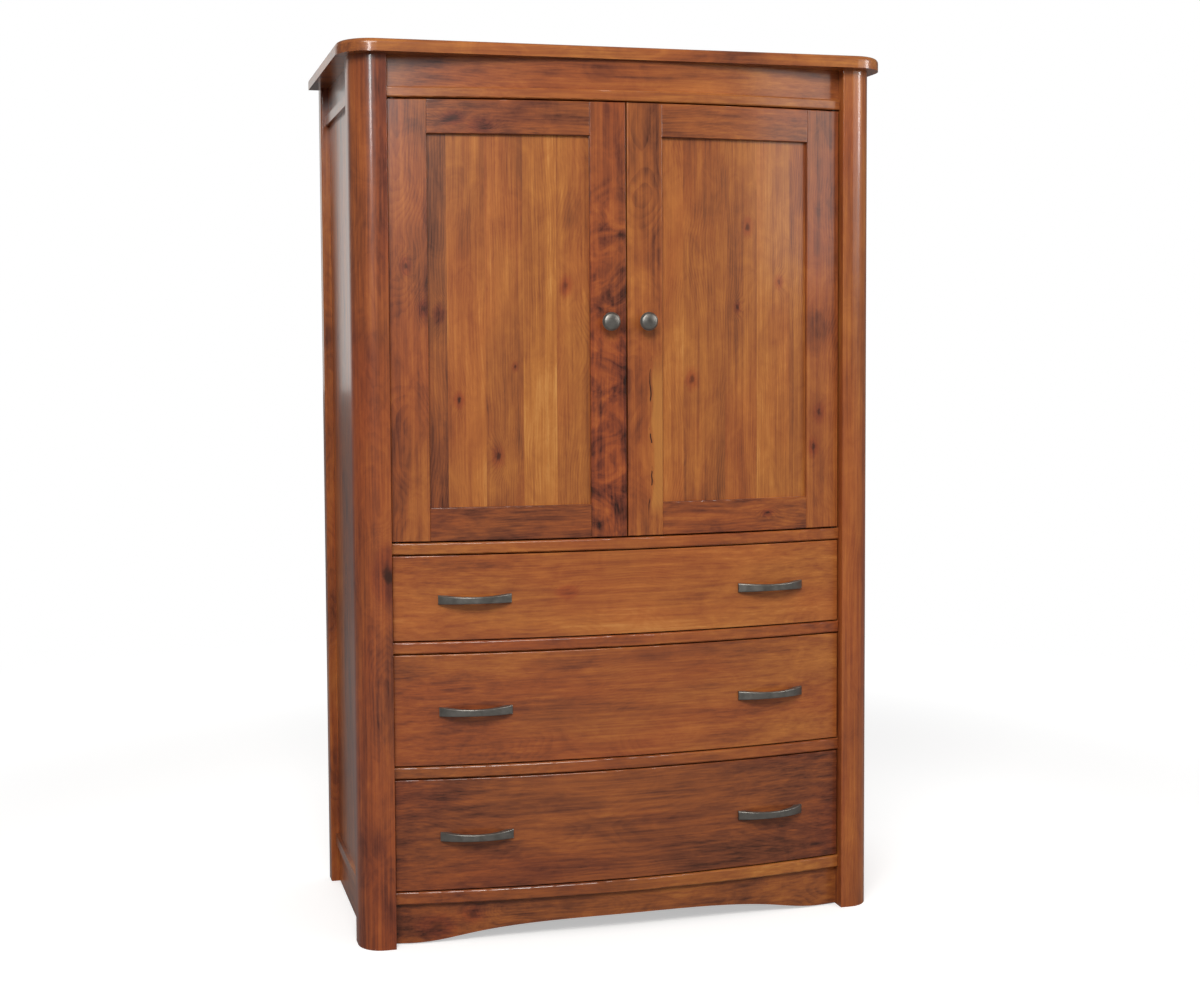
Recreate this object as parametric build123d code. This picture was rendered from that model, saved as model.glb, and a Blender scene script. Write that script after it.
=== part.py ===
from build123d import *
import os
from math import asin, degrees, sqrt

# Bow-front armoire: two framed doors over three drawers, hung between rounded corner posts.
# Millimetres, +Z up. The front faces -Y and +X is on the right of a person facing the front.
# The origin is on the floor, at the middle of the overall width and of the overall depth.

# ---- overall size ----
overall_height = 1829.0
overall_depth = 560.0            # front of the door knobs to the back
case_depth = 508.0               # front of the posts to the back
case_half_width = 560.0          # to the outer faces of the posts
opening_half_width = 488.0       # to the inner faces of the posts
top_thickness = 26.0
top_overhang = 23.0
top_edge_round = 10.0
back_y = overall_depth / 2
post_front_y = back_y - case_depth
underside_of_top = overall_height - top_thickness

# ---- posts ----
front_post_depth = 74.0
rear_post_depth = 35.0
post_corner_radius = 50.0
rear_post_corner_radius = 4.0
post_projection = 17.0           # how far the posts stand in front of the ends of the rails
front_post_back_y = post_front_y + front_post_depth
rear_post_front_y = back_y - rear_post_depth

# ---- bowed front: every rail, door and drawer front lies on one upright cylinder ----
bow_radius = 3000.0
rail_end_y = post_front_y + post_projection
bow_centre_y = rail_end_y + sqrt(bow_radius ** 2 - opening_half_width ** 2)
bow_apex_y = bow_centre_y - bow_radius
blank_front_y = bow_apex_y - 5.0     # flat blanks start here and are cut back to the bow
blank_back_y = rail_end_y + 60.0

# ---- heights of the front, from the floor up ----
foot_clearance = 2.0             # aprons end this far above the floor, so the posts carry the case
bottom_rail_z = (85.0, 111.0)
lower_rail_z = (345.0, 369.0)
middle_rail_z = (601.5, 625.5)
upper_rail_z = (803.5, 827.5)
head_rail_z = (1719.5, 1741.0)
apron_arch_rise = 33.0
apron_foot_length = 32.0
apron_shoulder = (0.68, 0.48)    # where the arch is half up: share of the half width, and of the rise
apron_set_back = 12.0
apron_thickness = 20.0
frieze_set_back = 10.0
frieze_thickness = 20.0
edge_round = 1.5

# ---- sides and back ----
side_set_back = 19.0             # from the outer face of the posts to the side panel
bead_set_back = 10.5
side_board_thickness = 19.0
side_panel_thickness = 8.0
lower_bead_z = (89.0, 111.0)
groove_depth = 8.0
back_thickness = 6.0
back_rabbet = 10.0
side_face_x = case_half_width - side_set_back
side_inner_x = side_face_x - side_board_thickness
back_inner_y = back_y - back_thickness

# ---- inside the door compartment ----
board_thickness = 18.0
shelf_set_back = 31.0            # from the ends of the rails to the shelves' front edges
shelf_front_y = rail_end_y + shelf_set_back
shelf_side_gap = 2.0
pin_row_z = [992.0 + 64.0 * step for step in range(10)]
upper_shelf_row = 7
lower_shelf_row = 3
pin_radius = 2.5
pin_depth = 8.0
pin_reach = 10.0
pin_inset = 14.0                 # from the inner edges of the posts
front_pin_y = front_post_back_y - pin_inset
rear_pin_y = rear_post_front_y + pin_inset
cleat_height = 60.0
floor_cleat_size = 20.0

# ---- doors ----
front_set_back = 1.5             # doors and drawer fronts lie this far behind the rails
front_thickness = 22.0
door_gap = 3.0                   # round each door
meeting_half_gap = 1.5
stile_width = 77.0
door_rail_height = 68.0
door_panel_set_back = 10.5
door_panel_thickness = 6.0
door_bottom = upper_rail_z[1] + door_gap
door_top = head_rail_z[0] - door_gap
catch_size = (45.0, 22.0, 13.0)
catch_x = 55.0
catch_clearance = 0.5

# ---- knobs: turned, with heights measured from the door or back from the knob's front ----
knob_x = 40.0
knob_z = 1272.0
knob_radius = 19.0
knob_root = 3.0                  # sunk behind the door face before it is fitted to the bow
knob_seat_radius = 9.0
knob_seat_height = 2.0
knob_neck_radius = 7.0
knob_neck_height = 4.0
knob_neck_waist = (5.5, 10.0)
knob_neck_flare = (7.5, 14.0)
knob_head_radius = 15.0
knob_head_depth = 12.0
knob_bevel = (0.6, 9.5)
knob_rim = (8.0, 6.5)
knob_face_inset = 3.6
knob_dome = 2.6

# ---- pivot hinges: a pinned plate let into the rail and a holed plate let into the door ----
pivot_x = 475.0
pivot_behind_face = 6.5
pivot_pin_radius = 2.5
pivot_clearance = 0.05
pivot_plate = (38.0, 14.0, 2.5)
pivot_plate_end = 8.0            # from the pin to the plate's outer end
pivot_plate_front = 3.2          # from the pin to the plate's front edge
pivot_reach = 13.0
pivot_collar_radius = 5.0
pivot_collar_height = 2.7
pin_pocket_clearance = 0.5
pin_pocket_depth = 14.0

# ---- drawers ----
drawer_gap = 2.5
drawer_end_gap = 3.0
box_half_width = 475.0
box_board = 12.0
box_rear_gap = 55.0
box_back_y = back_y - box_rear_gap
box_bottom_thickness = 6.0
box_bottom_lift = 8.0
box_lift = 10.0                  # box side above the lower edge of its front
box_headroom = 34.0

# ---- pulls: an arched strap with broad ends and a waist ----
pull_x = 320.0
pull_drop = 3.0                  # below the middle of the drawer front
pull_half_length = 75.0
pull_reach = 27.0
pull_end_height = 19.0
pull_waist_height = 14.0
pull_strap = 5.5
pull_end_thickness = 3.5
pull_foot_length = 17.0
pull_root = 6.0                  # sunk behind the front before it is fitted to the bow
pull_edge_round = 2.0

# ---- ball-bearing slides: channels nested in the gap beside each drawer box ----
slide_set_back = 27.0
slide_front_y = rail_end_y + slide_set_back
slide_length = 400.0
slide_sheet = 1.2
drawer_member = (475.0, 483.4, 16.2)     # web x, flange x, half height
link_member = (485.8, 477.5, 19.7)
case_member = (488.0, 477.0, 22.5)


def block(x_span, y_span, z_span):
    """A board between two limits on each axis."""
    spans = (x_span, y_span, z_span)
    centre = [(low + high) / 2 for low, high in spans]
    size = [high - low for low, high in spans]
    return Pos(*centre) * Box(*size)


def mirrored(side, low, high):
    """The span low..high measured outwards from the middle, on side -1 (left) or +1 (right)."""
    return tuple(sorted((side * low, side * high)))


def bow_y(x, set_back=0.0):
    """The y of the bowed front at x, on the surface that lies set_back behind it."""
    return bow_centre_y - sqrt((bow_radius - set_back) ** 2 - x ** 2)


def inside_bow(set_back):
    """Everything behind the bowed surface that lies set_back behind the front."""
    middle = overall_height / 2
    return Pos(0, bow_centre_y, middle) * Cylinder(bow_radius - set_back, 2 * overall_height)


def rounded_front(board, radius=edge_round):
    """Ease the edges of a board's front face."""
    return fillet(board.faces().sort_by(Axis.Y)[0].edges(), radius)


def bowed_board(x_span, z_span, set_back, thickness):
    """A board of even thickness that follows the bow."""
    blank = block(x_span, (blank_front_y, blank_back_y), z_span)
    return blank & inside_bow(set_back) - inside_bow(set_back + thickness)


def front_board(x_span, z_span):
    """A board of a door frame or drawer front, with eased front edges."""
    return rounded_front(bowed_board(x_span, z_span, front_set_back, front_thickness))


def front_rail(z_span):
    """A rail between the posts: bowed in front and straight at the back."""
    blank = block((-opening_half_width, opening_half_width), (blank_front_y, front_post_back_y), z_span)
    return rounded_front(blank & inside_bow(0), 2 * edge_round)


def top_panel():
    """The top, with front corners that run round the posts and a rounded upper edge."""
    half_width = case_half_width + top_overhang
    front_y = post_front_y - top_overhang
    slab = block((-half_width, half_width), (front_y, back_y), (underside_of_top, overall_height))
    corners = slab.edges().filter_by(Axis.Z).group_by(Axis.Y)[0]
    slab = fillet(corners, post_corner_radius + top_overhang)
    upper_edges = slab.faces().sort_by(Axis.Z)[-1].edges().sort_by(Axis.Y)[:-1]
    return fillet(upper_edges, top_edge_round)


def pin_holes(side, y):
    """The row of shelf-pin holes in a post's inner face."""
    for z in pin_row_z:
        x_span = mirrored(side, opening_half_width, opening_half_width + pin_depth)
        yield Pos(sum(x_span) / 2, y, z) * Rot(0, 90, 0) * Cylinder(pin_radius, pin_depth)


def outer_front_corner(post, side):
    """The upright edge of a post that faces forwards and outwards."""
    front_edges = post.edges().filter_by(Axis.Z).group_by(Axis.Y)[0]
    return front_edges.sort_by(Axis.X)[-1 if side > 0 else 0]


def front_post(side):
    """A front post: flat towards the doors and rounded on its outer front corner."""
    x_span = mirrored(side, opening_half_width, case_half_width)
    post = block(x_span, (post_front_y, front_post_back_y), (0, underside_of_top))
    post = fillet(outer_front_corner(post, side), post_corner_radius)
    upright_edges = post.edges().filter_by(Axis.Z)
    inner_corner = upright_edges.sort_by(lambda edge: side * edge.center().X + edge.center().Y)[0]
    post = fillet(inner_corner, edge_round)
    return post - list(pin_holes(side, front_pin_y)) - side_panel(side)


def rear_post(side):
    """A rear post, rabbeted for the back panel."""
    x_span = mirrored(side, opening_half_width, case_half_width)
    post = block(x_span, (rear_post_front_y, back_y), (0, underside_of_top))
    post = fillet(outer_front_corner(post, side), rear_post_corner_radius)
    return post - list(pin_holes(side, rear_pin_y)) - side_panel(side) - back_panel()


def side_panel(side):
    """The flat panel between the posts, held in grooves all round."""
    x_span = mirrored(side, side_face_x - side_panel_thickness, side_face_x)
    y_span = (front_post_back_y - groove_depth, rear_post_front_y + groove_depth)
    z_span = (lower_bead_z[1] - groove_depth, head_rail_z[0] + groove_depth)
    return block(x_span, y_span, z_span)


def side_board(side, set_back, z_span):
    """One horizontal board of a side frame."""
    x_span = mirrored(side, side_inner_x, case_half_width - set_back)
    return block(x_span, (front_post_back_y, rear_post_front_y), z_span)


def side_rails(side):
    """The boards across one side: top board, thin rails above and below the panel, apron."""
    top_board = side_board(side, side_set_back, (head_rail_z[1], underside_of_top))
    upper_bead = side_board(side, bead_set_back, head_rail_z) - side_panel(side)
    lower_bead = side_board(side, bead_set_back, lower_bead_z) - side_panel(side)
    apron = side_board(side, side_set_back, (foot_clearance, lower_bead_z[0]))
    return [top_board, upper_bead, lower_bead, apron]


def base_apron():
    """The bowed board under the bottom rail, arched between two short feet."""
    half = opening_half_width
    foot_x = half - apron_foot_length
    shoulder_x = apron_shoulder[0] * half
    shoulder_z = foot_clearance + apron_shoulder[1] * apron_arch_rise
    board = bowed_board((-half, half), (foot_clearance, bottom_rail_z[0]), apron_set_back, apron_thickness)
    arch_points = [
        (-foot_x, foot_clearance),
        (-shoulder_x, shoulder_z),
        (0, foot_clearance + apron_arch_rise),
        (shoulder_x, shoulder_z),
        (foot_x, foot_clearance),
    ]
    arch = Spline(*arch_points, tangents=[(1, 0), (1, 0)])
    below = Polyline(arch @ 1, (foot_x, -foot_clearance), (-foot_x, -foot_clearance), arch @ 0)
    cutter = extrude(Plane.XZ * make_face([arch, below]), overall_depth, both=True)
    return board - cutter


def frieze_board():
    """The plain bowed board between the head rail and the top."""
    half = opening_half_width
    return bowed_board((-half, half), (head_rail_z[1], underside_of_top), frieze_set_back, frieze_thickness)


def back_panel():
    """The thin back, let into the rear posts."""
    half = opening_half_width + back_rabbet
    return block((-half, half), (back_inner_y, back_y), (lower_bead_z[0], underside_of_top))


def cabinet_floor():
    """The floor of the door compartment, notched round the four posts."""
    z_span = (upper_rail_z[1] - board_thickness, upper_rail_z[1])
    inner_x = side_face_x - side_panel_thickness
    between_posts = block((-inner_x, inner_x), (front_post_back_y, rear_post_front_y), z_span)
    full_depth = block((-opening_half_width, opening_half_width), (front_post_back_y, back_inner_y), z_span)
    return between_posts + full_depth


def shelf(row):
    """A shelf that rests on four pins of the given row."""
    half = opening_half_width - shelf_side_gap
    bottom = pin_row_z[row] + pin_radius
    y_span = (shelf_front_y, back_inner_y - shelf_side_gap)
    board = block((-half, half), y_span, (bottom, bottom + board_thickness))
    return rounded_front(board, 2 * edge_round)


def shelf_pins():
    """The eight pins under the two shelves."""
    pins = []
    for row in (lower_shelf_row, upper_shelf_row):
        for side in (-1, 1):
            for y in (front_pin_y, rear_pin_y):
                x = side * (opening_half_width + (pin_depth - pin_reach) / 2)
                pin = Rot(0, 90, 0) * Cylinder(pin_radius, pin_depth + pin_reach)
                pins.append(Pos(x, y, pin_row_z[row]) * pin)
    return pins


def inner_cleats(drawers):
    """Cleats between the posts that carry the slides and the cabinet floor."""
    y_span = (front_post_back_y, rear_post_front_y)
    floor_underside = upper_rail_z[1] - board_thickness
    floor_cleat_z = (floor_underside - floor_cleat_size, floor_underside)
    panel_inner_x = side_face_x - side_panel_thickness
    cleats = []
    for side in (-1, 1):
        for drawer in drawers:
            z_span = (drawer["slide_z"] - cleat_height / 2, drawer["slide_z"] + cleat_height / 2)
            cleats.append(block(mirrored(side, opening_half_width, side_inner_x), y_span, z_span))
        x_span = mirrored(side, panel_inner_x - floor_cleat_size, panel_inner_x)
        cleats.append(block(x_span, y_span, floor_cleat_z))
    return cleats


def pivot_point(side):
    """Where a door's pivot axis stands in plan."""
    return side * pivot_x, bow_y(pivot_x, front_set_back) + pivot_behind_face


def pivot_plate_block(side, face_z, inwards):
    """A small plate let into a face at height face_z; inwards is +1 into wood above, -1 below."""
    x, y = pivot_point(side)
    length, width, thickness = pivot_plate
    x_span = mirrored(side, abs(x) + pivot_plate_end - length, abs(x) + pivot_plate_end)
    y_span = (y - pivot_plate_front, y - pivot_plate_front + width)
    return block(x_span, y_span, tuple(sorted((face_z, face_z + inwards * thickness))))


def upright_cylinder(x, y, radius, z_from, z_to):
    """A round bar between two heights."""
    return Pos(x, y, (z_from + z_to) / 2) * Cylinder(radius, abs(z_to - z_from))


def case_pivot(side, face_z, towards_door):
    """The case half of a pivot: plate, collar and pin."""
    x, y = pivot_point(side)
    plate = pivot_plate_block(side, face_z, -towards_door)
    collar_end = face_z + towards_door * pivot_collar_height
    pin_end = face_z + towards_door * pivot_reach
    collar = upright_cylinder(x, y, pivot_collar_radius, face_z, collar_end)
    pin = upright_cylinder(x, y, pivot_pin_radius, face_z, pin_end)
    return plate + collar + pin


def door_pivot(side, face_z, into_door):
    """The door half of a pivot: a plate with a running hole for the pin."""
    x, y = pivot_point(side)
    plate = pivot_plate_block(side, face_z, into_door)
    hole_radius = pivot_pin_radius + pivot_clearance
    hole = upright_cylinder(x, y, hole_radius, face_z - pivot_reach, face_z + pivot_reach)
    return plate - hole


def pin_pocket(side, face_z, into_door):
    """The clearance hole in the stile behind a door's pivot plate."""
    x, y = pivot_point(side)
    radius = pivot_pin_radius + pin_pocket_clearance
    return upright_cylinder(x, y, radius, face_z, face_z + into_door * pin_pocket_depth)


def door_ends():
    """The two ends of a door: its face height, its rail's face height and the way into the door."""
    return ((door_bottom, upper_rail_z[1], 1), (door_top, head_rail_z[0], -1))


def door_panel(side):
    """The flat staved panel of a door, bowed with the front."""
    outer = opening_half_width - door_gap - stile_width + groove_depth
    x_span = mirrored(side, stile_width - groove_depth, outer)
    z_span = (door_bottom + door_rail_height - groove_depth, door_top - door_rail_height + groove_depth)
    return bowed_board(x_span, z_span, door_panel_set_back, door_panel_thickness)


def door_parts(side, name):
    """All the pieces of one door, by node name."""
    outer = opening_half_width - door_gap
    frame_x = (stile_width, outer - stile_width)
    height = (door_bottom, door_top)
    panel = door_panel(side)
    outer_stile = front_board(mirrored(side, frame_x[1], outer), height) - panel
    inner_stile = front_board(mirrored(side, meeting_half_gap, frame_x[0]), height) - panel
    plates = []
    for face_z, _, into_door in door_ends():
        outer_stile = outer_stile - pivot_plate_block(side, face_z, into_door)
        outer_stile = outer_stile - pin_pocket(side, face_z, into_door)
        plates.append(door_pivot(side, face_z, into_door))
    rails = []
    for z_span in ((door_top - door_rail_height, door_top), (door_bottom, door_bottom + door_rail_height)):
        rails.append(front_board(mirrored(side, *frame_x), z_span) - panel)
    return {
        f"{name}_door_outer_stile": outer_stile,
        f"{name}_door_inner_stile": inner_stile,
        f"{name}_door_top_rail": rails[0],
        f"{name}_door_bottom_rail": rails[1],
        f"{name}_door_panel": panel,
        f"{name}_door_pivot_plates": plates,
        f"{name}_door_knob": door_knob(side),
    }


def door_knob(side):
    """A turned knob with a waisted neck, a bevelled rim and a slightly domed face."""
    x = side * knob_x
    length = bow_y(x, front_set_back) + overall_depth / 2
    neck_top = (knob_neck_radius, knob_neck_height)
    flare = (knob_neck_flare[0], length - knob_neck_flare[1])
    head_back = (knob_head_radius, length - knob_head_depth)
    bevel = (knob_radius - knob_bevel[0], length - knob_bevel[1])
    rim_back, rim_front = [(knob_radius, length - back) for back in knob_rim]
    face_edge = knob_radius - knob_face_inset
    face_rim = (face_edge, length - knob_dome)
    dome_radius = (face_edge ** 2 + knob_dome ** 2) / (2 * knob_dome)
    dome_drop = dome_radius - sqrt(dome_radius ** 2 - (face_edge / 2) ** 2)
    with BuildSketch() as half_section:
        with BuildLine():
            Polyline((0, length), (0, -knob_root), (knob_seat_radius, -knob_root),
                     (knob_seat_radius, knob_seat_height), neck_top)
            Bezier(neck_top, knob_neck_waist, flare, head_back)
            Polyline(head_back, bevel, rim_back, rim_front, face_rim)
            ThreePointArc(face_rim, (face_edge / 2, length - dome_drop), (0, length))
        make_face()
    turned = revolve(half_section.sketch, Axis.Y)
    placed = Pos(x, bow_y(x, front_set_back), knob_z) * Rot(0, 0, 180) * turned
    return placed - inside_bow(front_set_back)


def drawer_pull(side, z):
    """An arched strap pull: broad flat ends, a narrower bowed bridge, feet fitted to the front."""
    half, foot_x = pull_half_length, pull_half_length - pull_foot_length
    end, waist = pull_end_height / 2, pull_waist_height / 2
    outer = ThreePointArc((-half, -pull_end_thickness), (0, -pull_reach), (half, -pull_end_thickness))
    inner = ThreePointArc((foot_x, 0), (0, pull_strap - pull_reach), (-foot_x, 0))
    right_foot = Polyline(outer @ 1, (half, pull_root), (foot_x, pull_root), inner @ 0)
    left_foot = Polyline(inner @ 1, (-foot_x, pull_root), (-half, pull_root), outer @ 0)
    plan = extrude(make_face([outer, right_foot, inner, left_foot]), end, both=True)
    upper = ThreePointArc((-half, end), (0, waist), (half, end))
    lower = ThreePointArc((half, -end), (0, -waist), (-half, -end))
    ends = [Line(upper @ 1, lower @ 0), Line(lower @ 1, upper @ 0)]
    front_view = extrude(Plane.XZ * make_face([upper, ends[0], lower, ends[1]]), 2 * pull_reach, both=True)
    strap = plan & front_view
    long_edges = strap.edges().filter_by(lambda edge: edge.length > half).sort_by(Axis.Y)[:2]
    strap = fillet(long_edges, pull_edge_round)
    x = side * pull_x
    turn = degrees(asin(x / (bow_radius - front_set_back)))
    placed = Pos(x, bow_y(x, front_set_back), z) * Rot(0, 0, turn) * strap
    return placed - inside_bow(front_set_back)


def drawer_opening(name, below, above):
    """A drawer's opening between two rails, and the heights that follow from it."""
    front_z = (below[1] + drawer_gap, above[0] - drawer_gap)
    box_z = (front_z[0] + box_lift, front_z[1] - box_headroom)
    return {
        "name": name,
        "front_z": front_z,
        "box_z": box_z,
        "slide_z": (box_z[0] + box_z[1]) / 2,
        "pull_z": (front_z[0] + front_z[1]) / 2 - pull_drop,
    }


def channel(side, web_x, flange_x, half_height, slide_z):
    """One channel of a slide: a web at web_x with two flanges that reach to flange_x."""
    y_span = (slide_front_y, slide_front_y + slide_length)
    step = slide_sheet if flange_x > web_x else -slide_sheet
    web = block(mirrored(side, web_x, web_x + step), y_span, (slide_z - half_height, slide_z + half_height))
    for end in (-1, 1):
        edge = slide_z + end * half_height
        z_span = tuple(sorted((edge, edge - end * slide_sheet)))
        web = web + block(mirrored(side, web_x, flange_x), y_span, z_span)
    return web


def slide_members(slide_z, profile):
    """The left and right channels of one kind."""
    return [channel(side, *profile, slide_z) for side in (-1, 1)]


def drawer_parts(drawer):
    """All the pieces of one drawer, by node name."""
    name = drawer["name"]
    front_half = opening_half_width - drawer_end_gap
    front_back = front_set_back + front_thickness
    front = front_board((-front_half, front_half), drawer["front_z"])
    inner_half = box_half_width - box_board
    bottom_z = drawer["box_z"][0] + box_bottom_lift
    bottom_half = inner_half + box_board / 2
    bottom_blank = block((-bottom_half, bottom_half), (bow_apex_y, box_back_y),
                         (bottom_z, bottom_z + box_bottom_thickness))
    bottom = bottom_blank & inside_bow(front_back - box_board / 2)
    sides = []
    for side in (-1, 1):
        blank = block(mirrored(side, inner_half, box_half_width), (bow_apex_y, box_back_y), drawer["box_z"])
        sides.append((blank & inside_bow(front_back)) - bottom)
    back = block((-inner_half, inner_half), (box_back_y - box_board, box_back_y),
                 (bottom_z + box_bottom_thickness, drawer["box_z"][1]))
    return {
        f"{name}_drawer_front": front - bottom,
        f"{name}_drawer_sides": sides,
        f"{name}_drawer_back": back,
        f"{name}_drawer_bottom": bottom,
        f"{name}_drawer_pulls": [drawer_pull(side, drawer["pull_z"]) for side in (-1, 1)],
        f"{name}_drawer_slides": slide_members(drawer["slide_z"], drawer_member),
        f"{name}_slide_links": slide_members(drawer["slide_z"], link_member),
    }


def door_catches():
    """Two magnetic catches under the head rail, just behind the doors."""
    width, depth, height = catch_size
    catches = []
    for side in (-1, 1):
        front_y = bow_y(catch_x + width / 2, front_set_back + front_thickness) + catch_clearance
        x_span = mirrored(side, catch_x - width / 2, catch_x + width / 2)
        z_span = (head_rail_z[0] - height, head_rail_z[0])
        catches.append(block(x_span, (front_y, front_y + depth), z_span))
    return catches


def case_parts(drawers):
    """All the pieces of the case, by node name."""
    case_slides = []
    for drawer in drawers:
        case_slides += slide_members(drawer["slide_z"], case_member)
    head_rail = front_rail(head_rail_z)
    upper_rail = front_rail(upper_rail_z)
    pivots = []
    for side in (-1, 1):
        for _, face_z, towards_door in door_ends():
            pivots.append(case_pivot(side, face_z, towards_door))
            seat = pivot_plate_block(side, face_z, -towards_door)
            head_rail = head_rail - seat
            upper_rail = upper_rail - seat
    parts = {
        "top_panel": top_panel(),
        "frieze_board": frieze_board(),
        "head_rail": head_rail,
        "upper_rail": upper_rail,
        "middle_rail": front_rail(middle_rail_z),
        "lower_rail": front_rail(lower_rail_z),
        "bottom_rail": front_rail(bottom_rail_z),
        "base_apron": base_apron(),
        "back_panel": back_panel(),
        "cabinet_floor": cabinet_floor(),
        "upper_shelf": shelf(upper_shelf_row),
        "lower_shelf": shelf(lower_shelf_row),
        "shelf_pins": shelf_pins(),
        "inner_cleats": inner_cleats(drawers),
        "door_catches": door_catches(),
        "case_pivot_plates": pivots,
        "case_slides": case_slides,
    }
    for side, name in ((-1, "left"), (1, "right")):
        parts[f"front_{name}_post"] = front_post(side)
        parts[f"rear_{name}_post"] = rear_post(side)
        parts[f"{name}_side_panel"] = side_panel(side)
        parts[f"{name}_side_rails"] = side_rails(side)
    return parts


all_drawers = [
    drawer_opening("upper", middle_rail_z, upper_rail_z),
    drawer_opening("middle", lower_rail_z, middle_rail_z),
    drawer_opening("lower", bottom_rail_z, lower_rail_z),
]
nodes = case_parts(all_drawers)
for door_side, door_name in ((-1, "left"), (1, "right")):
    nodes.update(door_parts(door_side, door_name))
for each_drawer in all_drawers:
    nodes.update(drawer_parts(each_drawer))

os.makedirs("parts", exist_ok=True)
for node_name, shape in nodes.items():
    solids = shape if isinstance(shape, list) else [shape]
    pieces = [solid for piece in solids for solid in piece.solids()]
    export_step(Compound(children=pieces) if len(pieces) > 1 else pieces[0], f"parts/{node_name}.step")
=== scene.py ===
import math

import bmesh
import bpy
from mathutils import Matrix, Vector


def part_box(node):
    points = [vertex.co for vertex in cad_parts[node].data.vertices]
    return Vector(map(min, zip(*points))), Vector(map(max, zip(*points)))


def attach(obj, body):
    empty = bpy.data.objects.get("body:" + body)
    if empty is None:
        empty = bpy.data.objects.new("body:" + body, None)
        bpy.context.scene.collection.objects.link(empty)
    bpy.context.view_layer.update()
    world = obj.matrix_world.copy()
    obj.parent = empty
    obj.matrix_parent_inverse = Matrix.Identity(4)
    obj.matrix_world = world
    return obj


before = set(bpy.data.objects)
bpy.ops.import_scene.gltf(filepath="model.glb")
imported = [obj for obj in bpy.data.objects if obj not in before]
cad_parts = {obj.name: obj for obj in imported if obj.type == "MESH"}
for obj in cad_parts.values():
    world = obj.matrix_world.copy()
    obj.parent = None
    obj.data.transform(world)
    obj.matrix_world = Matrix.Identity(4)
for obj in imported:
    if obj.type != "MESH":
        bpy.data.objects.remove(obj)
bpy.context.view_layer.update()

MM = 0.001


# ---------------------------------------------------------------- camera

CAMERA_PLACE = Vector((-1.027, -3.535, 1.220))
CAMERA_YAW = 0.2435
CAMERA_PITCH = -0.0565
CAMERA_ROLL = -0.0075
CAMERA_LENS = 50.2
CAMERA_SHIFT = (0.060, -0.048)


def make_camera():
    """Camera at the viewing angle: left of the front, just above mid height, almost level."""
    data = bpy.data.cameras.new("camera")
    data.lens = CAMERA_LENS
    data.sensor_width = 36.0
    data.shift_x, data.shift_y = CAMERA_SHIFT
    camera = bpy.data.objects.new("camera", data)
    bpy.context.scene.collection.objects.link(camera)
    ahead = Vector((
        math.sin(CAMERA_YAW) * math.cos(CAMERA_PITCH),
        math.cos(CAMERA_YAW) * math.cos(CAMERA_PITCH),
        math.sin(CAMERA_PITCH),
    ))
    level = Vector((math.cos(CAMERA_YAW), -math.sin(CAMERA_YAW), 0.0))
    above = level.cross(ahead)
    right = level * math.cos(CAMERA_ROLL) + above * math.sin(CAMERA_ROLL)
    up = above * math.cos(CAMERA_ROLL) - level * math.sin(CAMERA_ROLL)
    turn = Matrix((right, up, -ahead)).transposed().to_4x4()
    camera.matrix_world = Matrix.Translation(CAMERA_PLACE) @ turn
    bpy.context.scene.camera = camera


# ---------------------------------------------------------------- node helpers


def srgb(red, green, blue):
    """Linear colour from sRGB values of 0 to 255."""
    def linear(value):
        part = value / 255
        return part / 12.92 if part <= 0.04045 else ((part + 0.055) / 1.055) ** 2.4
    return (linear(red), linear(green), linear(blue), 1.0)


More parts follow.
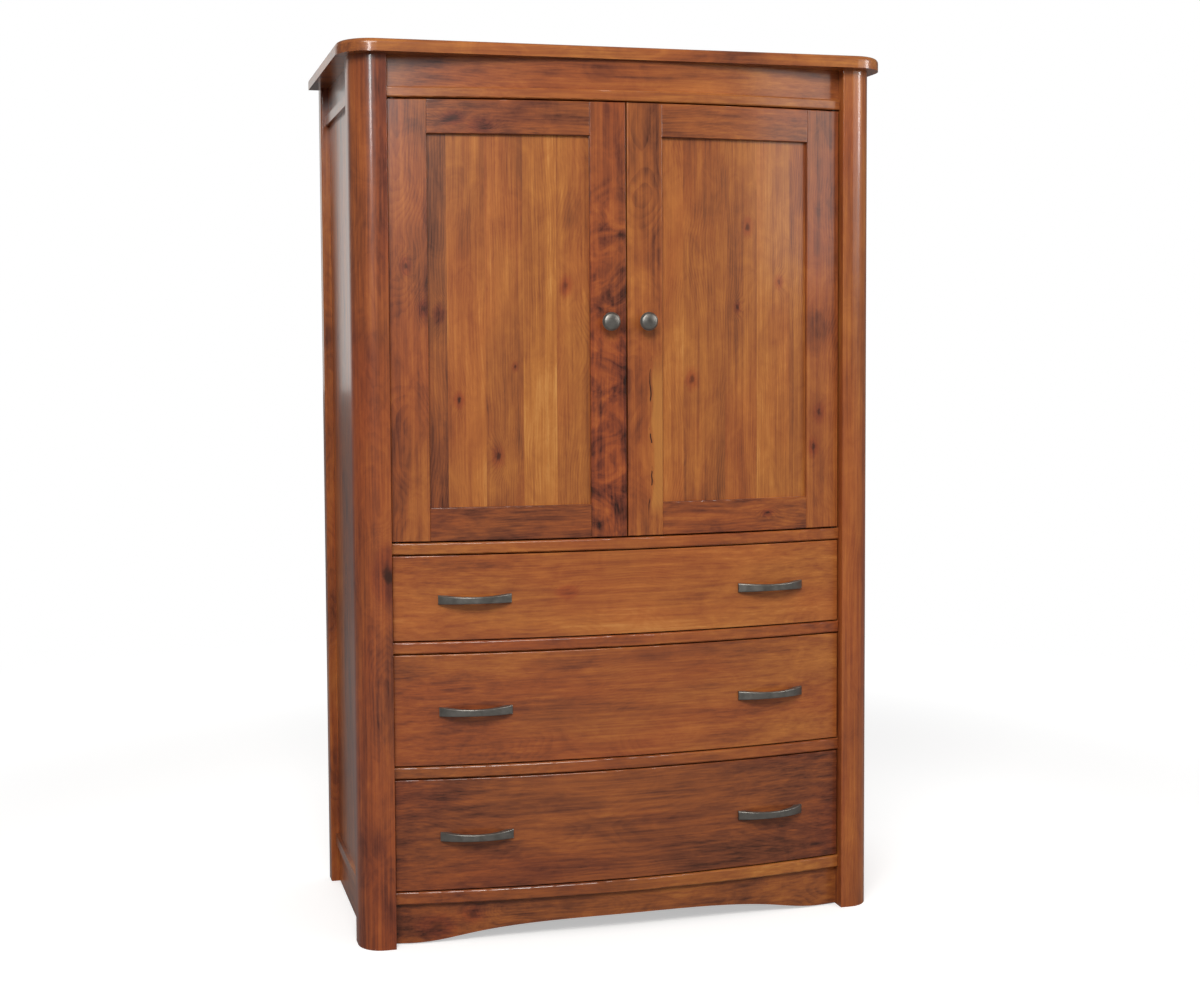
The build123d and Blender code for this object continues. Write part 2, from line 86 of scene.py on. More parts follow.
class Graph:
    """One material's node tree, with short ways to add nodes."""

    def __init__(self, name):
        self.material = bpy.data.materials.new(name)
        self.material.use_nodes = True
        self.tree = self.material.node_tree
        self.shader = self.tree.nodes["Principled BSDF"]

    def set(self, socket, value):
        """Links a socket to another node's output, or gives it a constant."""
        if isinstance(value, bpy.types.NodeSocket):
            self.tree.links.new(value, socket)
        else:
            socket.default_value = value

    def add(self, kind, inputs, **settings):
        """Adds a node, with its inputs and its own settings."""
        node = self.tree.nodes.new("ShaderNode" + kind)
        for key, value in settings.items():
            setattr(node, key, value)
        for key, value in inputs.items():
            self.set(node.inputs[key], value)
        return node

    def math(self, operation, first, second=0.0):
        return self.add("Math", {0: first, 1: second}, operation=operation).outputs[0]

    def total(self, *values):
        """The sum of two or more values."""
        result = values[0]
        for value in values[1:]:
            result = self.math("ADD", result, value)
        return result

    def scaled(self, value, factor):
        return self.math("MULTIPLY", value, factor)

    def step(self, value, start, end, low=0.0, high=1.0):
        """A smooth change from low at start to high at end."""
        inputs = {"Value": value, "From Min": start, "From Max": end, "To Min": low, "To Max": high}
        return self.add("MapRange", inputs, interpolation_type="SMOOTHSTEP").outputs["Result"]

    def vector(self, x, y, z):
        return self.add("CombineXYZ", {0: x, 1: y, 2: z}).outputs[0]

    def noise(self, vector, detail=2.0, roughness=0.5, distortion=0.0):
        inputs = {
            "Vector": vector,
            "Scale": 1.0,
            "Detail": detail,
            "Roughness": roughness,
            "Distortion": distortion,
        }
        return self.add("TexNoise", inputs).outputs[0]

    def ramp(self, value, stops, interpolation="LINEAR"):
        """Colours between (place, colour) stops."""
        node = self.add("ValToRGB", {0: value})
        node.color_ramp.interpolation = interpolation
        points = node.color_ramp.elements
        while len(points) < len(stops):
            points.new(1.0)
        for point, (place, colour) in zip(points, stops):
            point.position = place
            point.color = colour
        return node.outputs["Color"]

    def mix(self, factor, first, second, blend="MIX"):
        node = self.add("Mix", {0: factor, 6: first, 7: second}, data_type="RGBA", blend_type=blend)
        return node.outputs[2]

    def finish(self, colour, roughness, height, depth, **constants):
        """Connects the shader; height is relief in units of depth, in metres."""
        bump = self.add("Bump", {"Strength": 1.0, "Distance": depth, "Height": height})
        self.set(self.shader.inputs["Base Color"], colour)
        self.set(self.shader.inputs["Roughness"], roughness)
        self.set(self.shader.inputs["Normal"], bump.outputs["Normal"])
        for key, value in constants.items():
            self.shader.inputs[key.replace("_", " ")].default_value = value
        return self.material


# ---------------------------------------------------------------- wood

BROWN = [
    (0.00, srgb(50, 29, 23)),
    (0.25, srgb(117, 66, 41)),
    (0.50, srgb(156, 90, 47)),
    (0.75, srgb(184, 115, 55)),
    (1.00, srgb(208, 144, 76)),
]
RED_BROWN = [
    (0.00, srgb(46, 25, 20)),
    (0.25, srgb(115, 56, 38)),
    (0.50, srgb(156, 78, 42)),
    (0.75, srgb(180, 98, 49)),
    (1.00, srgb(198, 122, 64)),
]
KNOT_COLOUR = srgb(62, 34, 25)
SAPWOOD_COLOUR = srgb(190, 126, 62)
SAPWOOD_START = 0.05
SAPWOOD_END = 0.09
GRAIN_ORDER = {"x": (2, 1, 0), "y": (2, 0, 1), "z": (0, 1, 2), "side": (1, 0, 2)}
SEED_STEP = 7.31
RING_DARKNESS = 0.11
RING_SPACING = 5.2 * MM
HEART_DEPTH = 0.085
KNOT_STRETCH = 0.62


def board_axes(graph, grain):
    """Coordinates across the board, through it and along its grain, in metres.

    Grain x, y or z runs along that axis; side is upright grain on a board that faces sideways.
    """
    place = graph.add("TexCoord", {}).outputs["Object"]
    parts = graph.add("SeparateXYZ", {"Vector": place}).outputs
    return [parts[index] for index in GRAIN_ORDER[grain]]


def knot_fields(graph, across, along, knots):
    """Grain bulge, stained halo and dark core of knots (across, along, radius, darkness)."""
    bulge, halo, core = 0.0, 0.0, 0.0
    for knot_across, knot_along, radius, darkness in knots:
        x = graph.scaled(graph.math("SUBTRACT", across, knot_across), 1 / radius)
        z = graph.scaled(graph.math("SUBTRACT", along, knot_along), KNOT_STRETCH / radius)
        spot = graph.vector(graph.scaled(x, 1.1), knot_along * 90, graph.scaled(z, 1.1))
        wobble = graph.noise(spot, 3.0)
        reach = graph.math("SQRT", graph.total(graph.math("POWER", x, 2), graph.math("POWER", z, 2)))
        reach = graph.total(reach, graph.scaled(wobble, 1.4), -0.7)
        near = graph.step(reach, 0.0, 5.5, 1.0, 0.0)
        bulge = graph.total(graph.scaled(near, 3.4 * radius), bulge)
        halo = graph.math("MAXIMUM", graph.step(reach, 0.4, 3.4, 1.0, 0.0), halo)
        core = graph.math("MAXIMUM", graph.step(reach, 0.25, 1.15, darkness, 0.0), core)
    return bulge, halo, core


def wood(
    name,
    grain="z",
    tone=0.5,
    seed=1,
    heart=0.0,
    rings=1.0,
    blotch=1.0,
    red=0.4,
    knots=(),
    fades=(),
    staves=(),
    burl=None,
    sapwood=None,
    gloss=0.34,
):
    """Stained and lacquered cherry board: growth rings, fibre, blotches and knots.

    heart is where the rings centre across the board; each fade, (axis, start, end, change), is a ramp of
    tone along the board that is partly the wood's own colour and partly painted light and shade; staves,
    burl (start, end, amount) and sapwood (edge, low, high) are for the boards that have them.
    """
    graph = Graph(name)
    across, through, along = board_axes(graph, grain)
    offset = seed * SEED_STEP
    if staves:
        # each stave is a step of grey across the panel; scaled() turns that grey into a value
        steps = [(place, (value, value, value, 1.0)) for place, value in staves["tones"]]
        left, right = staves["span"]
        share = graph.scaled(graph.math("SUBTRACT", across, left), 1 / (right - left))
        stave = graph.scaled(graph.ramp(share, steps, "CONSTANT"), 1.0)
        offset = graph.total(graph.scaled(stave, 61.8), offset)
        heart = graph.total(graph.scaled(graph.math("SINE", offset), 0.05), heart)

    def field(a, b, c, detail=2.0, roughness=0.5, distortion=0.0, shift=0.0):
        spot = graph.vector(
            graph.total(graph.scaled(across, a), offset),
            graph.total(graph.scaled(through, b), shift),
            graph.total(graph.scaled(along, c), offset),
        )
        return graph.noise(spot, detail, roughness, distortion)

    bulge, halo, core = knot_fields(graph, across, along, knots)
    wander = field(0.0, 0.0, 2.4, shift=1.7)
    sway = field(0.0, 0.0, 1.7, shift=4.1)
    ripple = field(11, 11, 3.0, 3.0, 0.55, 0.4, shift=9.0)
    side = graph.math("SUBTRACT", across, heart)
    side = graph.total(side, graph.scaled(sway, 0.10), -0.05)
    deep = graph.total(graph.scaled(through, 1.0), graph.scaled(wander, 0.20), HEART_DEPTH)
    radius = graph.math("SQRT", graph.total(graph.math("POWER", side, 2), graph.math("POWER", deep, 2)))
    radius = graph.total(radius, graph.scaled(ripple, 0.030), bulge)
    phase = graph.math("FRACT", graph.math("DIVIDE", radius, RING_SPACING))
    line = graph.math("MULTIPLY", graph.step(phase, 0.25, 0.86), graph.step(phase, 0.90, 1.0, 1.0, 0.0))
    strength = field(14, 14, 3.5, 2.0, shift=3.3)
    line = graph.math("MULTIPLY", line, graph.step(strength, 0.36, 0.68, 0.1, 1.0))

    cloud = field(9, 9, 2.6, 5.0, 0.6, 0.7, shift=2.0)
    figure = field(26, 26, 14, 5.0, 0.65, 1.2, shift=6.0)
    fibre = field(260, 260, 5, 4.0, 0.68, shift=5.0)
    streak = field(95, 95, 2.2, 3.0, 0.6, shift=8.0)
    pore = field(1500, 1500, 60, 1.0, shift=11.0)

    shade = graph.total(graph.scaled(graph.total(cloud, -0.5), 1.2 * blotch), tone)
    shade = graph.total(shade, graph.scaled(graph.total(figure, -0.5), 0.55 * blotch))
    shade = graph.total(shade, graph.scaled(graph.total(fibre, -0.5), 0.50))
    shade = graph.total(shade, graph.scaled(graph.total(streak, -0.5), 0.62))
    shade = graph.total(shade, graph.scaled(line, -RING_DARKNESS * rings))
    axes = {"across": across, "along": along}
    # each fade ramps the tone along the board: partly the wood's own colour, partly painted light and
    # shade, such as the brighter right-hand side
    for axis, start, end, change in fades:
        shade = graph.total(shade, graph.step(axes[axis], start, end, 0.0, change))
    if staves:
        shade = graph.total(shade, graph.scaled(graph.total(stave, -0.5), staves["contrast"]))
    if knots:
        shade = graph.total(shade, graph.scaled(halo, -0.15))
    redness = graph.step(field(6, 6, 2.0, 3.0, shift=13.0), 0.35, 0.7, red - 0.3, red + 0.3)
    if knots:
        redness = graph.total(redness, graph.scaled(halo, 0.9))
    if burl:
        start, end, amount = burl
        swirl = field(12, 12, 15, 4.0, 0.6, 1.4, shift=3.9)
        place = graph.step(along, start, end, 0.0, amount)
        curl = graph.scaled(graph.total(swirl, -0.50), 3.0)
        shade = graph.total(shade, graph.math("MULTIPLY", curl, place))
        redness = graph.total(redness, graph.scaled(place, 0.35))
    colour = graph.mix(
        graph.math("MINIMUM", redness, 1.0),
        graph.ramp(shade, BROWN),
        graph.ramp(shade, RED_BROWN),
    )
    if sapwood:
        edge, low, high = sapwood
        meander = graph.scaled(graph.total(field(0, 0, 9.0, 3.0, 0.6, shift=15.0), -0.5), 0.030)
        depth = graph.total(graph.math("SUBTRACT", across, edge), meander)
        started = graph.step(along, low, low + SAPWOOD_START)
        going_on = graph.step(along, high - SAPWOOD_END, high, 1.0, 0.0)
        reach = graph.math("MULTIPLY", started, going_on)
        pale = graph.math("MULTIPLY", graph.step(depth, 0.0, 0.006), reach)
        colour = graph.mix(graph.scaled(pale, 0.75), colour, SAPWOOD_COLOUR)
        crack = graph.math("ABSOLUTE", graph.total(depth, 0.002))
        broken = graph.step(field(40, 40, 26, 2.0, shift=17.0), 0.50, 0.56)
        crack = graph.math("MULTIPLY", graph.step(crack, 0.0006, 0.0022, 1.0, 0.0), broken)
        core = graph.math("MAXIMUM", graph.math("MULTIPLY", crack, reach), core)
    if knots or sapwood:
        colour = graph.mix(core, colour, KNOT_COLOUR)
    ticks = graph.step(pore, 0.66, 0.80, 0.0, 0.35)
    colour = graph.mix(ticks, colour, KNOT_COLOUR)

    height = graph.total(fibre, graph.scaled(line, -0.6), graph.scaled(ticks, -1.0))
    roughness = graph.total(graph.scaled(cloud, 0.10), graph.scaled(fibre, 0.08), gloss - 0.09)
    return graph.finish(
        colour,
        roughness,
        height,
        0.04 * MM,
        Specular_IOR_Level=0.22,
        Coat_Weight=0.5,
        Coat_Roughness=0.15,
        Coat_IOR=1.5,
    )


def pale_wood(name, grain, seed, light, dark, gloss):
    """Clear-finished light wood or birch ply for drawer boxes and the back."""
    graph = Graph(name)
    across, through, along = board_axes(graph, grain)
    offset = seed * SEED_STEP

    def field(a, c, detail=2.0, distortion=0.0, shift=0.0):
        spot = graph.vector(
            graph.total(graph.scaled(across, a), offset),
            graph.total(graph.scaled(through, a), shift),
            graph.scaled(along, c),
        )
        return graph.noise(spot, detail, 0.55, distortion)

    sheet = field(7, 1.6, 3.0, 1.2)
    band = graph.math("FRACT", graph.scaled(sheet, 15.0))
    line = graph.math("MULTIPLY", graph.step(band, 0.3, 0.9), graph.step(band, 0.93, 1.0, 1.0, 0.0))
    cloud = field(3.5, 1.4, 4.0, 0.5, 3.0)
    fibre = field(480, 9, 3.0, 0.0, 5.0)
    shade = graph.total(graph.scaled(cloud, 0.75), graph.scaled(line, -0.16))
    shade = graph.total(shade, graph.scaled(fibre, 0.30), 0.02)
    colour = graph.ramp(shade, [(0.2, dark), (0.8, light)])
    roughness = graph.total(graph.scaled(cloud, 0.12), gloss - 0.06)
    height = graph.total(fibre, graph.scaled(line, -0.5))
    return graph.finish(colour, roughness, height, 0.05 * MM, Coat_Weight=0.12, Coat_Roughness=0.3)


# ---------------------------------------------------------------- metal and plastic


def metal(name, dark, light, low, high, along, depth):
    """Metal with drifting tone, fine drawn lines along one axis and rubbed patches."""
    graph = Graph(name)
    place = graph.add("TexCoord", {}).outputs["Object"]
    x, y, z = graph.add("SeparateXYZ", {"Vector": place}).outputs
    stretch = {axis: 900.0 for axis in "xyz"}
    stretch[along] = 60.0
    drawn = graph.noise(
        graph.vector(
            graph.scaled(x, stretch["x"]),
            graph.scaled(y, stretch["y"]),
            graph.scaled(z, stretch["z"]),
        ),
        3.0,
        0.6,
    )
    wide = graph.vector(graph.scaled(x, 55), graph.scaled(y, 55), graph.scaled(z, 55))
    cloud = graph.noise(wide, 4.0, 0.55, 0.4)
    shade = graph.total(graph.scaled(cloud, 0.7), graph.scaled(drawn, 0.3))
    colour = graph.ramp(shade, [(0.3, dark), (0.7, light)])
    roughness = graph.step(shade, 0.3, 0.7, low, high)
    return graph.finish(colour, roughness, drawn, depth, Metallic=0.85)


def plastic(name, colour):
    """Moulded plastic with a fine spark-eroded texture."""
    graph = Graph(name)
    place = graph.add("TexCoord", {}).outputs["Object"]
    fine = graph.add("Mapping", {"Vector": place, "Scale": (1600, 1600, 1600)}).outputs[0]
    broad = graph.add("Mapping", {"Vector": place, "Scale": (70, 70, 70)}).outputs[0]
    grain = graph.noise(fine, 2.0)
    wear = graph.noise(broad, 4.0)
    darker = tuple(0.6 * part for part in colour[:3]) + (1.0,)
    tint = graph.ramp(wear, [(0.3, darker), (0.7, colour)])
    return graph.finish(tint, graph.step(wear, 0.3, 0.7, 0.42, 0.6), grain, 0.06 * MM)


# ---------------------------------------------------------------- finishes of the carried-over nodes


def dress(node, material):
    """Puts one finish on all of a CAD node's material slots."""
    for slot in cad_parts[node].material_slots:
        slot.material = material


def dress_wood(node, **choices):
    """Gives a node a wood of its own."""
    dress(node, wood(node + "_wood", **choices))


def dress_case():
    """Top, rails, apron and posts, each board with its own figure."""
    dress_wood("top_panel", grain="x", tone=0.52, seed=1, heart=0.06, rings=0.8, red=0.25)
    dress_wood(
        "frieze_board",
        grain="x",
        tone=0.48,
        seed=2,
        heart=1.70,
        rings=0.7,
        red=0.35,
        blotch=0.8,
        # lighter towards the right: painted light from the right over the board's own tone
        fades=[("along", -0.1, 0.45, 0.14)],
    )
    dress_wood("head_rail", grain="x", tone=0.56, seed=3, heart=1.74, rings=0.5, red=0.3, blotch=0.5)
    dress_wood("upper_rail", grain="x", tone=0.53, seed=4, heart=0.80, rings=0.6, red=0.4, blotch=0.6)
    dress_wood("middle_rail", grain="x", tone=0.49, seed=5, heart=0.61, rings=0.6, red=0.45, blotch=0.6)
    dress_wood("lower_rail", grain="x", tone=0.47, seed=6, heart=0.36, rings=0.6, red=0.45, blotch=0.6)
    dress_wood(
        "bottom_rail",
        grain="x",
        tone=0.48,
        seed=7,
        heart=0.10,
        rings=0.6,
        red=0.3,
        blotch=0.7,
        # lighter towards the right: painted light from the right over the board's own tone
        fades=[("along", -0.1, 0.5, 0.14)],
    )
    dress_wood(
        "base_apron",
        grain="x",
        tone=0.31,
        seed=8,
        heart=0.05,
        red=0.4,
        blotch=1.1,
        knots=[(0.035, -0.40, 0.012, 0.6), (0.056, -0.33, 0.008, 0.5)],
        # lighter towards the right: painted light from the right over the board's own tone
        fades=[("along", -0.15, 0.4, 0.14)],
    )
    dress_wood(
        "front_left_post",
        tone=0.47,
        seed=9,
        heart=-0.50,
        rings=0.7,
        red=0.75,
        blotch=0.8,
        knots=[(-0.497, 0.766, 0.014, 1.0)],
        fades=[("along", 0.5, 0.0, -0.15), ("along", 0.9, 1.7, -0.14)],
    )
    dress_wood(
        "front_right_post",
        tone=0.54,
        seed=10,
        heart=0.56,
        rings=0.7,
        red=0.5,
        blotch=0.7,
        # lighter towards the top: painted light from the right over the post's own tone
        fades=[("along", 1.2, 1.75, 0.10)],
    )
    dress_wood("rear_left_post", tone=0.46, seed=11, heart=-0.5, red=0.5)
    dress_wood("rear_right_post", tone=0.48, seed=12, heart=0.5, red=0.5)
    for side, seed in (("left", 13), ("right", 16)):
        staves = {
            "span": (-0.25, 0.25),
            "tones": [(0.0, 0.46), (0.24, 0.60), (0.49, 0.38), (0.73, 0.54)],
            "contrast": 0.5,
        }
        dress_wood(side + "_side_panel", grain="side", tone=0.45, seed=seed, staves=staves, red=0.4)
        dress_wood(side + "_side_rails", grain="y", tone=0.44, seed=seed + 1, heart=0.1, red=0.5)


def dress_inside():
    """Cabinet floor, shelves, cleats and back."""
    dress_wood("cabinet_floor", grain="x", tone=0.56, seed=21, heart=0.8, gloss=0.45)
    dress_wood("upper_shelf", grain="x", tone=0.58, seed=22, heart=1.4, gloss=0.45)
    dress_wood("lower_shelf", grain="x", tone=0.55, seed=23, heart=1.1, gloss=0.45)
    ply = pale_wood("back_ply", "z", 24, srgb(206, 160, 112), srgb(168, 118, 76), 0.5)
    dress("back_panel", ply)
    cleat = pale_wood("cleat_wood", "y", 25, srgb(210, 172, 126), srgb(176, 132, 90), 0.5)
    dress("inner_cleats", cleat)


DOOR_STAVES = {
    "left": {
        "span": (-0.413, -0.079),
        "tones": [(0.0, 0.10), (0.13, 0.70), (0.36, 0.42), (0.59, 0.76), (0.80, 0.60)],
        "contrast": 0.50,
    },
    "right": {
        "span": (0.079, 0.413),
        "tones": [(0.0, 0.66), (0.14, 0.50), (0.42, 0.42), (0.64, 0.74), (0.87, 0.52)],
        "contrast": 0.50,
    },
}


def dress_doors():
    """Each door's two stiles, two rails and edge-glued panel."""
    dress_wood(
        "left_door_outer_stile",
        tone=0.44,
        seed=31,
        heart=-0.45,
        rings=0.9,
        red=0.4,
        knots=[(-0.452, 1.385, 0.0050, 0.7), (-0.418, 1.300, 0.0045, 0.6)],
        fades=[("along", 1.45, 1.15, 0.10)],
    )
    dress_wood(
        "left_door_inner_stile",
        tone=0.41,
        seed=32,
        heart=-0.10,
        rings=0.7,
        red=0.8,
        burl=(1.66, 1.42, 0.5),
        fades=[("along", 1.30, 0.90, -0.08)],
    )
    dress_wood(
        "left_door_top_rail",
        grain="x",
        tone=0.33,
        seed=33,
        heart=1.60,
        red=0.5,
        blotch=1.0,
        knots=[(1.680, -0.355, 0.006, 0.6), (1.665, -0.300, 0.006, 0.2)],
    )
    dress_wood("left_door_bottom_rail", grain="x", tone=0.30, seed=34, heart=0.95, red=0.6, blotch=0.8)
    dress_wood(
        "left_door_panel",
        tone=0.56,
        seed=35,
        rings=1.1,
        red=0.15,
        blotch=0.8,
        staves=DOOR_STAVES["left"],
        knots=[
            (-0.346, 1.115, 0.0045, 0.9),
            (-0.268, 1.000, 0.0065, 0.8),
            (-0.232, 1.182, 0.0030, 0.8),
            (-0.126, 1.345, 0.0060, 0.4),
            (-0.385, 1.290, 0.0060, 0.3),
        ],
    )
    dress_wood(
        "right_door_inner_stile",
        tone=0.57,
        seed=41,
        heart=0.02,
        rings=1.2,
        red=0.45,
        sapwood=(0.052, 0.86, 1.22),
    )
    dress_wood(
        "right_door_outer_stile",
        tone=0.46,
        seed=42,
        heart=0.50,
        rings=0.9,
        red=0.4,
        fades=[("along", 1.4, 1.0, 0.05)],
        knots=[(0.438, 1.078, 0.0060, 0.7), (0.424, 1.004, 0.0055, 0.8)],
    )
    dress_wood("right_door_top_rail", grain="x", tone=0.46, seed=43, heart=1.60, red=0.5, blotch=0.8)
    dress_wood(
        "right_door_bottom_rail",
        grain="x",
        tone=0.36,
        seed=44,
        heart=0.95,
        red=0.5,
        knots=[(0.868, 0.315, 0.0035, 0.9)],
    )
    dress_wood(
        "right_door_panel",
        tone=0.57,
        seed=46,
        rings=1.1,
        red=0.15,
        blotch=0.8,
        staves=DOOR_STAVES["right"],
        knots=[
            (0.145, 1.152, 0.0065, 0.6),
            (0.272, 1.470, 0.0065, 0.7),
            (0.345, 1.355, 0.0045, 0.5),
            (0.248, 1.302, 0.0040, 0.8),
        ],
    )


def dress_drawers():
    """Three solid fronts with horizontal grain and light boxes behind them."""
    dress_wood(
        "upper_drawer_front",
        grain="x",
        tone=0.57,
        seed=51,
        heart=0.62,
        rings=0.6,
        red=0.45,
        blotch=0.7,
        knots=[(0.720, -0.13, 0.006, 0.05)],
        # darker at the left end, lighter towards the right: painted light from the right over the front's
        # own tone
        fades=[("along", -0.45, -0.1, 0.10)],
    )
    dress_wood(
        "middle_drawer_front",
        grain="x",
        tone=0.47,
        seed=52,
        heart=0.40,
        rings=0.5,
        red=0.5,
        blotch=0.7,
        # lighter towards the right: painted light from the right over the front's own tone
        fades=[("along", 0.0, 0.4, 0.12)],
    )
    dress_wood(
        "lower_drawer_front",
        grain="x",
        tone=0.36,
        seed=53,
        heart=0.22,
        rings=0.6,
        red=0.55,
        blotch=0.6,
        fades=[("along", 0.0, 0.45, -0.10)],
    )
    light, dark = srgb(226, 198, 156), srgb(196, 158, 112)
    box_long = pale_wood("drawer_side_wood", "y", 61, light, dark, 0.42)
    box_wide = pale_wood("drawer_back_wood", "x", 62, light, dark, 0.42)
    box_floor = pale_wood("drawer_bottom_ply", "x", 63, srgb(222, 190, 148), srgb(198, 160, 116), 0.5)
    for drawer in ("upper", "middle", "lower"):
        dress(drawer + "_drawer_sides", box_long)
        dress(drawer + "_drawer_back", box_wide)
        dress(drawer + "_drawer_bottom", box_floor)


PEWTER = ((0.16, 0.15, 0.135, 1), (0.27, 0.258, 0.236, 1))
BLACKENED_STEEL = ((0.012, 0.011, 0.010, 1), (0.035, 0.032, 0.030, 1))
PLATED_STEEL = ((0.42, 0.43, 0.44, 1), (0.62, 0.63, 0.64, 1))


def dress_hardware():
    """Pewter pulls and knobs, blackened pivots, bright slides and pins, brown catches."""
    pewter = metal("pewter", *PEWTER, 0.32, 0.46, "x", 0.02 * MM)
    black = metal("blackened_steel", *BLACKENED_STEEL, 0.5, 0.62, "y", 0.01 * MM)
    zinc = metal("plated_steel", *PLATED_STEEL, 0.24, 0.42, "y", 0.01 * MM)
    nylon = plastic("catch_plastic", (0.10, 0.055, 0.03, 1.0))
    for drawer in ("upper", "middle", "lower"):
        dress(drawer + "_drawer_pulls", pewter)
        dress(drawer + "_drawer_slides", zinc)
        dress(drawer + "_slide_links", zinc)
    for side in ("left", "right"):
        dress(side + "_door_knob", pewter)
        dress(side + "_door_pivot_plates", black)
    dress("case_pivot_plates", black)
    dress("case_slides", zinc)
    dress("shelf_pins", zinc)
    dress("door_catches", nylon)
    return zinc


# ---------------------------------------------------------------- screw heads inside doors and drawers


SCREW_RADIUS = 4.5 * MM
SCREW_HEIGHT = 2.4 * MM
SCREW_SEGMENTS = 32
SCREW_RINGS = [
    (0.06, 1.00),
    (0.20, 0.99),
    (0.34, 0.96),
    (0.48, 0.92),
    (0.60, 0.87),
    (0.66, 0.84),
    (0.82, 0.70),
    (0.94, 0.45),
    (1.00, 0.20),
    (1.00, -0.10),
]
RECESS_REACH = 0.62
RECESS_HALF_WIDTH = 0.13
RECESS_DEPTH = 0.60
KNOB_SCREW = (0.040, 1.272)
PULL_SCREWS_X = (0.2535, 0.3865)


def screw_head(name, node, body, x, z, material):
    """A cross-recess pan head seated on the inner face of a door or drawer front."""
    behind = Vector((x, 0.2, z))
    place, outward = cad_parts[node].ray_cast(behind, Vector((0, -1, 0)))[1:3]
    build = bmesh.new()
    rings = []
    for share, height in SCREW_RINGS:
        ring = []
        for step in range(SCREW_SEGMENTS):
            angle = math.tau * step / SCREW_SEGMENTS
            u, v = share * math.cos(angle), share * math.sin(angle)
            recessed = share < RECESS_REACH and min(abs(u), abs(v)) < RECESS_HALF_WIDTH
            level = height - (RECESS_DEPTH if recessed else 0.0)
            ring.append(build.verts.new((u * SCREW_RADIUS, v * SCREW_RADIUS, level * SCREW_HEIGHT)))
        rings.append(ring)
    for inner, outer in zip(rings, rings[1:]):
        for index in range(SCREW_SEGMENTS):
            after = (index + 1) % SCREW_SEGMENTS
            build.faces.new((inner[index], outer[index], outer[after], inner[after]))
    build.faces.new(rings[0])
    build.faces.new(rings[-1][::-1])
    mesh = bpy.data.meshes.new(name)
    build.to_mesh(mesh)
    build.free()
    mesh.materials.append(material)
    head = bpy.data.objects.new(name, mesh)
    bpy.context.scene.collection.objects.link(head)
    head.location = place
    head.rotation_mode = "QUATERNION"
    head.rotation_quaternion = outward.to_track_quat("Z", "Y")
    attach(head, body)


def add_screw_heads(material):
    """One screw behind each knob and two behind each pull."""
    for side, sign in (("left", -1), ("right", 1)):
        x, z = KNOB_SCREW
        screw_head(side + "_knob_screw", side + "_door_inner_stile", side + "_door", sign * x, z, material)
    for drawer in ("upper", "middle", "lower"):
        lowest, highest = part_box(drawer + "_drawer_pulls")
        z = (lowest.z + highest.z) / 2
        places = [sign * x for sign in (-1, 1) for x in PULL_SCREWS_X]
        for count, x in enumerate(places, 1):
            name = f"{drawer}_pull_screw_{count}"
            screw_head(name, drawer + "_drawer_front", drawer + "_drawer", x, z, material)


# ---------------------------------------------------------------- floor, world and lights


FLOOR_RADIUS = 60.0
FLOOR_NEAR = 1.0                 # paint as it is up to here, white light from FLOOR_FAR on
FLOOR_FAR = 3.5
FLOOR_GLOW = 0.45                # light the floor itself gives close to the object
FLOOR_BOUNCE = 0.30              # grey the floor has for the light it throws back
WORLD_FILL = 0.50
WORLD_GLOSS = 0.14


def make_floor():
    """Wide pale floor under the feet, which runs into the white of the studio."""
    mesh = bpy.data.meshes.new("floor")
    build = bmesh.new()
    bmesh.ops.create_circle(build, cap_ends=True, segments=96, radius=FLOOR_RADIUS)
    build.to_mesh(mesh)
    build.free()
    floor = bpy.data.objects.new("floor", mesh)
    bpy.context.scene.collection.objects.link(floor)
    graph = Graph("floor_paint")
    place = graph.add("TexCoord", {}).outputs["Object"]
    broad = graph.add("Mapping", {"Vector": place, "Scale": (3, 3, 3)}).outputs[0]
    mottle = graph.noise(broad, 3.0)
    away = graph.add("VectorMath", {0: place}, operation="LENGTH").outputs["Value"]
    near = graph.step(away, FLOOR_NEAR, FLOOR_FAR, 1.0, 0.0)
    level = graph.total(graph.scaled(mottle, 0.01), 0.80)
    grey = graph.math("MULTIPLY", level, near)
    colour = graph.vector(grey, grey, grey)
    mesh.materials.append(graph.finish(colour, 0.9, mottle, 0.2 * MM, Specular_IOR_Level=0.0))
    graph.shader.inputs["Emission Color"].default_value = (1, 1, 1, 1)
    graph.set(graph.shader.inputs["Emission Strength"], graph.step(near, 0.0, 1.0, 1.0, FLOOR_GLOW))
    dull = graph.add("BsdfDiffuse", {"Color": (FLOOR_BOUNCE, FLOOR_BOUNCE, FLOOR_BOUNCE, 1)})
    seen = graph.add("LightPath", {}).outputs["Is Camera Ray"]
    both = graph.add("MixShader", {0: seen, 1: dull.outputs[0], 2: graph.shader.outputs[0]})
    graph.set(graph.tree.nodes["Material Output"].inputs["Surface"], both.outputs[0])


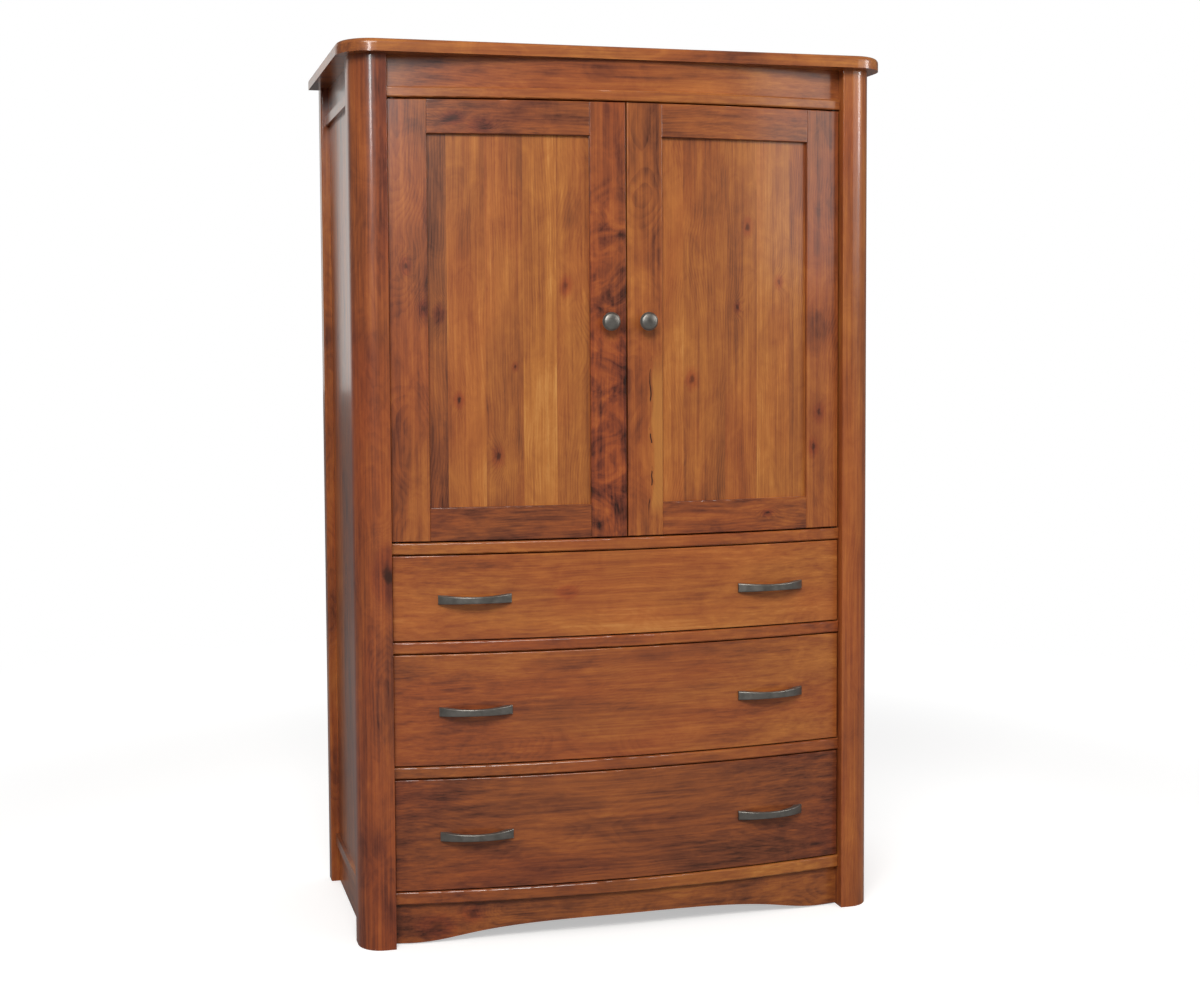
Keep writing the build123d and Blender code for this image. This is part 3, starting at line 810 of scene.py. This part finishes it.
def make_world():
    """White seen directly, a dim studio in reflections and light grey for all else it lights."""
    world = bpy.data.worlds.new("studio")
    world.use_nodes = True
    bpy.context.scene.world = world
    nodes, links = world.node_tree.nodes, world.node_tree.links
    path = nodes.new("ShaderNodeLightPath")
    result = nodes["Background"]
    result.inputs["Color"].default_value = (0.98, 0.99, 1.0, 1)
    result.inputs["Strength"].default_value = WORLD_FILL
    for kind, strength in (("Is Glossy Ray", WORLD_GLOSS), ("Is Camera Ray", 1.0)):
        light = nodes.new("ShaderNodeBackground")
        light.inputs["Color"].default_value = (1, 1, 1, 1)
        light.inputs["Strength"].default_value = strength
        choose = nodes.new("ShaderNodeMixShader")
        links.new(path.outputs[kind], choose.inputs[0])
        links.new(result.outputs[0], choose.inputs[1])
        links.new(light.outputs[0], choose.inputs[2])
        result = choose
    links.new(result.outputs[0], nodes["World Output"].inputs["Surface"])


WARM = (1.0, 0.97, 0.93)
COOL = (0.97, 0.99, 1.0)
LEFT_POST_TOP = (-0.52, -0.19, 1.75)
RIGHT_POST_TOP = (0.54, -0.19, 1.70)


def make_light(name, place, target, size, power, colour=WARM, gloss_only=False):
    """A soft box that stays out of sight and may light nothing but reflections."""
    data = bpy.data.lights.new(name, "AREA")
    data.shape = "RECTANGLE"
    data.size, data.size_y = size
    data.energy = power
    data.color = colour
    light = bpy.data.objects.new(name, data)
    bpy.context.scene.collection.objects.link(light)
    light.location = place
    light.rotation_mode = "QUATERNION"
    light.rotation_quaternion = (Vector(target) - Vector(place)).to_track_quat("-Z", "Y")
    light.visible_camera = False
    light.visible_diffuse = not gloss_only


def make_lights():
    """Key from the upper left, strips for the highlights on the posts, fill from the right and rear."""
    make_light("key", (-1.6, -4.2, 4.0), (0, 0, 0.9), (2.6, 1.6), 172)
    make_light("left_strip", (-1.50, -3.85, 2.55), LEFT_POST_TOP, (0.50, 0.95), 42, COOL, True)
    make_light("right_strip", (3.40, -1.85, 2.50), RIGHT_POST_TOP, (0.60, 1.10), 34, COOL, True)
    make_light("right_box", (3.4, -2.9, 2.5), (0.45, -0.2, 1.3), (2.4, 2.0), 34)
    make_light("side_card", (-1.7, 3.4, 2.1), (-0.5, 0.0, 1.2), (2.2, 2.2), 13)


make_camera()
make_floor()
make_world()
make_lights()
dress_case()
dress_inside()
dress_doors()
dress_drawers()
add_screw_heads(dress_hardware())
bpy.context.scene.view_settings.view_transform = "Standard"
